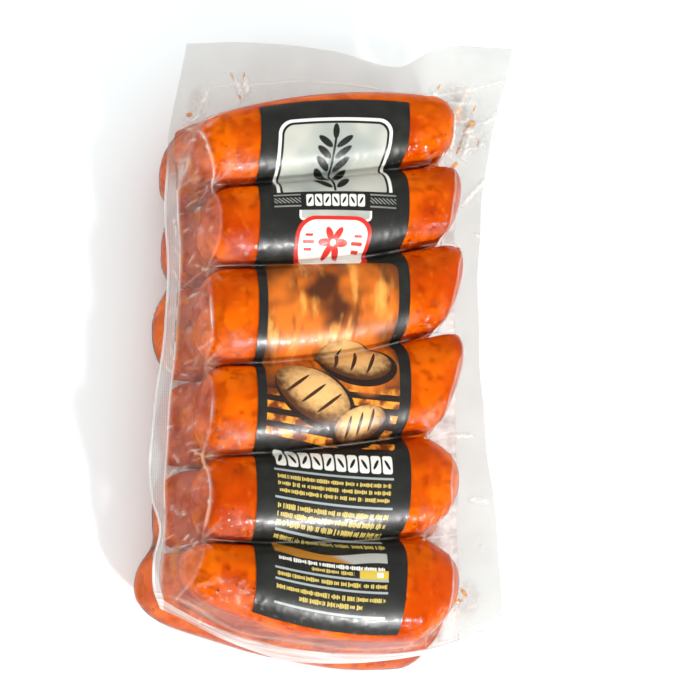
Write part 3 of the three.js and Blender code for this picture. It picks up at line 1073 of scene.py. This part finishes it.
def small_print(art):
    """A heading of white blocks, thin rules, rows of dashes, a waved ribbon and a tag."""
    yield from art.beads(7.0, 49.5, LOWER_HEADING_V, 3.2, 10)
    for cv, half_u in RULES:
        yield art.box(MIDDLE_U, cv, half_u, 0.34), colour(214, 226, 226)
    for seed, (cv, half_u, rise) in enumerate(DASH_ROWS):
        yield art.dashes(cv, half_u, rise, float(seed)), GOLD
    wave = (art.u * 0.16 + 0.6).sine()
    ribbon = (art.v - RIBBON_V - wave).size().between(1.6, 1.8).flipped()
    bend = (art.u + (art.v * 0.8).sine() * 4).between(30, 36)
    yield art.box(MIDDLE_U, 25.8, 20.5, 3.0) * ribbon, art.mix(bend, colour(238, 158, 40), WHITE)
    yield art.dashes(21.4, 19.5, 0.8, 12.0), WHITE
    yield art.box(43.5, 19.5, 5.4, 1.5, 0.3), colour(206, 178, 70)
    yield art.box(45.8, 19.5, 1.2, 0.8, 0.2), WHITE
    yield art.dashes(19.4, 8.0, 0.7, 14.0), GOLD


def print_material():
    """The strip's print: shapes stamped one over another on a black ground."""
    art = StripPaint("print")
    silver = art.mix(art.noise(50, 2).between(0.3, 0.7), colour(196, 197, 186), colour(152, 161, 156))
    tone = art.mix(art.noise(160, 3).between(0.35, 0.75) * 0.5, BLACK, colour(46, 46, 41))
    for part in (plaque(art, silver), heading_band(art, silver), badge(art), picture(art), small_print(art)):
        for mask, ink in part:
            tone = art.mix(mask, tone, ink)
    skin = art.node("BsdfPrincipled", {
        "Base Color": tone,
        "Roughness": 0.4,
        "Specular IOR Level": 0.15,
        "Normal": art.bump(art.noise(600, 2), 0.3, 0.08),
    })
    return art.finish(skin.outputs[0])


# Pieces


def make_link(name, link, row, axis_z, material, lower):
    link = link._replace(left=link.left + LINK_INSET, right=link.right - LINK_INSET)
    t = (1 - np.cos(np.linspace(0.0, math.pi, LINK_RINGS))) / 2
    station = (link.left + (link.right - link.left) * t)[:, None]
    angle = np.linspace(0, 2 * math.pi, LINK_SIDES, endpoint=False)[None, :]
    size = link_filled(link, station, station) ** (1 / SECTION_POWER)
    c, s = np.cos(angle), np.sin(angle)
    round_off = 2 / SECTION_POWER
    across = size * np.sign(c) * np.abs(c) ** round_off
    low = np.broadcast_to(station, across.shape) - link.slant
    high = np.broadcast_to(station, across.shape)
    for _ in range(SLANT_ROUNDS):
        x = (low + high) / 2
        beyond = x + end_slant(link, x, across) > station
        low = np.where(beyond, low, x)
        high = np.where(beyond, x, high)
    middle, half = link_middle(link, row, x)
    y = middle + (half - LINK_INSET) * across
    z = axis_z + (LINK_HALF_HEIGHT - LINK_INSET) * size * np.sign(s) * np.abs(s) ** round_off
    points = np.stack([x, y, z], axis=-1)
    if lower:
        points[..., 2] = np.maximum(points[..., 2], FLAT_SPOT_DEPTH + 0.1)
        points = sagged(points)
    ends = [points[0].mean(0), points[-1].mean(0)]
    faces = grid_faces(LINK_RINGS, LINK_SIDES, wrap=True)
    first = LINK_RINGS * LINK_SIDES
    last_ring = first - LINK_SIDES
    for i in range(LINK_SIDES):
        after = (i + 1) % LINK_SIDES
        faces.append((first, after, i))
        faces.append((first + 1, last_ring + i, last_ring + after))
    vertices = np.concatenate([points.reshape(-1, 3), ends])
    return make_piece(name, vertices, faces, material)


def make_links():
    material = casing_material()
    layers = (("front", UPPER_LINKS, UPPER_AXIS_Z), ("back", LOWER_LINKS, LOWER_AXIS_Z))
    for side, links, axis_z in layers:
        for row, link in enumerate(links):
            make_link(f"link_{side}_{row + 1}", link, row, axis_z, material, side == "back")


def film_values(points, room, free):
    x, y = points[..., 0], points[..., 1]
    slope = grid_normals(points)[..., 2]
    flange = np.where(free, 0.0, 1.0)
    strip = flange * smooth((lift_left(y) - x) / 0.6) * smooth((70 - y) / 12)
    wall = free * smooth((crest_left(y) - x) / 0.8)
    room = room * np.abs(slope) * (1 - 0.9 * near_seam(x, y, 4.0) * smooth((x - crest_left(y)) / 3))
    edge = np.minimum(x - outer_left(y) + 100 * smooth((y + 66) / 12), y - outer_bottom(x))
    band = flange * smooth((6.5 - edge) / 3) * (0.4 + 0.6 * smooth((x + 50) / 25))
    return {"room": room, "flange": flange, "knurl": strip, "wall": wall, "band": band}


def front_values(points, free, fold):
    """What the front sheet has beside: where it is puckered and painted with highlights, where it stands off
    a tip, folds painted pale with highlights, and crumpled patches painted with shade.
    """
    x, y = points[..., 0], points[..., 1]
    end, _ = from_right_end(x, y)
    flank = lower_flank(x, y) * smooth((x - crest_left(y)) / 4) * smooth(end / 3) * free
    beyond = smooth((end_fold_place(x, y) - end) / 0.8) * smooth((end + 3) / 1.5) * free
    # Crumpled patches, where the film's milk is painted greyer as shade.
    crumples_and_shade = np.zeros(x.shape)
    for cx, cy, half_x, half_y, count in FOLD_PATCHES:
        reach = np.hypot((x - cx) / half_x, (y - cy) / half_y)
        crumples_and_shade = np.maximum(crumples_and_shade, smooth((1.25 - reach) / 0.7) * min(1.0, count / PATCH_FULL))
    return {"flank": flank, "beyond": beyond, "fold": fold, "crumples_and_shade": crumples_and_shade * (1 - smooth(end / 2))}


def make_films():
    """The front and back sheets, and the printed strip that lies under the front one."""
    front, room, free = drawn_film(UPPER_LINKS, UPPER_AXIS_Z, 1, FRONT_CELLS, FRONT_ROUNDS)
    # fold marks where the front sheet is painted pale: milkier folded film with painted highlights.
    detail, fold = film_detail(front[..., 0], front[..., 1], free.astype(float))
    front = front + grid_normals(front) * detail[..., None]
    printed = (line_range(FRONT_CELLS[1], LABEL_ROWS), line_range(FRONT_CELLS[0], LABEL_COLUMNS))
    values = film_values(front, room, free)
    values["room"][printed] = 0.0
    values.update(front_values(front, free, fold))
    values["printed"] = np.zeros(room.shape)
    values["printed"][printed] = 1.0
    faces = grid_faces(*front.shape[:2])
    film = make_piece("film_front", front, faces, film_material(True), values)
    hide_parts("pouch")

    label = (front - grid_normals(front) * LABEL_DEPTH)[printed]
    x, y = label[..., 0], label[..., 1]
    u = np.broadcast_to(np.linspace(0, 1, x.shape[1])[None, :], x.shape)
    v = (y - label_bottom(x)) / (label_top(x) - label_bottom(x))
    uv = np.stack([u, v], axis=-1)
    strip = make_piece("printed_strip", label, grid_faces(*x.shape), print_material(), uv=uv)
    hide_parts("label")

    back, room, free = drawn_film(LOWER_LINKS, LOWER_AXIS_Z, -1, BACK_CELLS, BACK_ROUNDS)
    values = film_values(back, room, free)
    back[..., 2] -= 0.12 * ~free * noise(back[..., 0], back[..., 1], 6.0, 51)
    back[..., 2] = np.maximum(back[..., 2], FLAT_SPOT_DEPTH)
    faces = grid_faces(*back.shape[:2], flip=True)
    sheet = make_piece("film_back", sagged(back), faces, film_material(False), values)
    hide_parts("pouch")


# Middle, half length, half width and turn
OIL_DROPS = [
    (50.2, -84.5, 2.0, 1.0, 0.9), (54.8, -86.2, 1.9, 0.8, -0.9), (52.5, -89.2, 2.3, 0.8, 0.1),
    (47.8, -88.9, 1.3, 1.1, 0.0), (42.6, -90.6, 0.9, 0.7, 0.4), (44.6, -92.8, 0.7, 1.1, 0.2),
    (37.0, -98.6, 1.8, 0.45, -0.8), (38.6, -101.5, 0.6, 0.5, 0.0), (59.2, 94.4, 3.2, 1.2, 0.75),
    (60.8, 96.9, 1.6, 1.2, 0.2), (55.4, 86.5, 3.8, 0.6, 1.2), (53.8, 79.4, 1.6, 0.8, 0.9),
    (57.6, 92.2, 1.6, 0.5, 1.1), (50.4, 103.5, 1.4, 0.6, 1.5), (63.4, 89.0, 1.5, 0.35, 1.3),
    (46.2, 103.0, 1.0, 0.8, 0.3), (47.2, 110.0, 1.1, 0.6, 1.4), (45.6, 106.0, 1.2, 0.5, -0.5),
    (52.0, 100.0, 0.8, 0.6, 0.0), (62.0, 103.0, 1.6, 0.4, 1.2), (-52.6, 88.4, 1.2, 0.8, 0.6),
    (-51.2, 83.0, 1.6, 0.6, 0.8), (-36.0, 105.5, 1.8, 0.35, -1.1), (-33.0, 97.0, 1.4, 0.5, -1.2),
    (-31.4, 106.4, 1.5, 0.3, 1.4),
]
OIL_HALF_DEPTH = 0.35


def make_oil():
    """Flat drops and streaks of oil between the two sheets, in one piece."""
    around, rings = 20, 8
    points, faces = [], []
    for number, (cx, cy, long, short, turn) in enumerate(OIL_DROPS):
        start = len(points)
        wobble = np.random.default_rng(60 + number).uniform(0.75, 1.2, around)
        for ring in range(rings + 1):
            tilt = math.pi * ring / rings
            for i in range(around):
                angle = 2 * math.pi * i / around
                reach = math.sin(tilt) * wobble[i]
                px, py = long * reach * math.cos(angle), short * reach * math.sin(angle)
                x = cx + px * math.cos(turn) - py * math.sin(turn)
                y = cy + px * math.sin(turn) + py * math.cos(turn)
                points.append((x, y, float(flange_z(x, y)) + OIL_HALF_DEPTH * math.cos(tilt)))
        faces += [tuple(start + k for k in f) for f in grid_faces(rings + 1, around, flip=True, wrap=True)]
    make_piece("oil_drops", points, faces, oil_material())


def make_floor():
    half = FLOOR_SIZE / 2
    corners = [(-half, -half, 0), (half, -half, 0), (half, half, 0), (-half, half, 0)]
    mesh = bpy.data.meshes.new("floor")
    mesh.from_pydata(corners, [], [(0, 1, 2, 3)])
    mesh.materials.append(floor_material())
    floor = add_object("floor", mesh)
    floor.location.z = -FLOOR_GAP


def make_camera():
    toward = np.array([-math.sin(TILT_X), -math.sin(TILT_Y), 0.0])
    toward[2] = math.sqrt(1 - toward @ toward)
    right = np.cross([0, 1, 0], toward)
    right /= np.linalg.norm(right)
    up = np.cross(toward, right)
    target = (np.array([0, 0, TARGET_Z]) - FRAME_SHIFT) * MM
    place = target + toward * DISTANCE * MM
    data = bpy.data.cameras.new("camera")
    data.sensor_width = SENSOR
    data.lens = PIXELS_PER_MM * DISTANCE / IMAGE * SENSOR
    data.shift_x = (IMAGE / 2 - TARGET_PIXEL[0]) / IMAGE
    data.shift_y = (TARGET_PIXEL[1] - IMAGE / 2) / IMAGE
    camera = add_object("camera", data)
    rows = [[right[k], up[k], toward[k], place[k]] for k in range(3)]
    camera.matrix_world = Matrix([*rows, [0, 0, 0, 1]])
    bpy.context.scene.camera = camera


def add_softbox(name, place, size, power, gloss_only=False):
    data = bpy.data.lights.new(name, "AREA")
    data.shape = "RECTANGLE"
    data.size, data.size_y = size
    data.energy = power
    light = add_object(name, data)
    light.location = place
    light.visible_diffuse = not gloss_only
    light.visible_transmission = not gloss_only
    aim = light.location.copy()
    aim.z -= FLANGE_Z * MM
    light.rotation_euler = aim.to_track_quat("Z", "Y").to_euler()


def make_lights():
    add_softbox("softbox_front", KEY_PLACE, KEY_SIZE, 22.0)
    add_softbox("sparkle", KEY_PLACE, KEY_SIZE, 120.0, gloss_only=True)
    add_softbox("softbox_left", (-1.3, -0.5, 1.1), (0.25, 0.25), 6.5)
    add_softbox("softbox_right", (1.3, 0.6, 1.3), (1.2, 1.2), 4.0)
    world = bpy.data.worlds.new("studio")
    world.use_nodes = True
    background = world.node_tree.nodes["Background"]
    background.inputs["Color"].default_value = (1, 1, 1, 1)
    background.inputs["Strength"].default_value = WORLD_STRENGTH
    bpy.context.scene.world = world
    bpy.context.scene.view_settings.view_transform = "Standard"


make_camera()
make_lights()
make_floor()
make_links()
make_films()
make_oil()
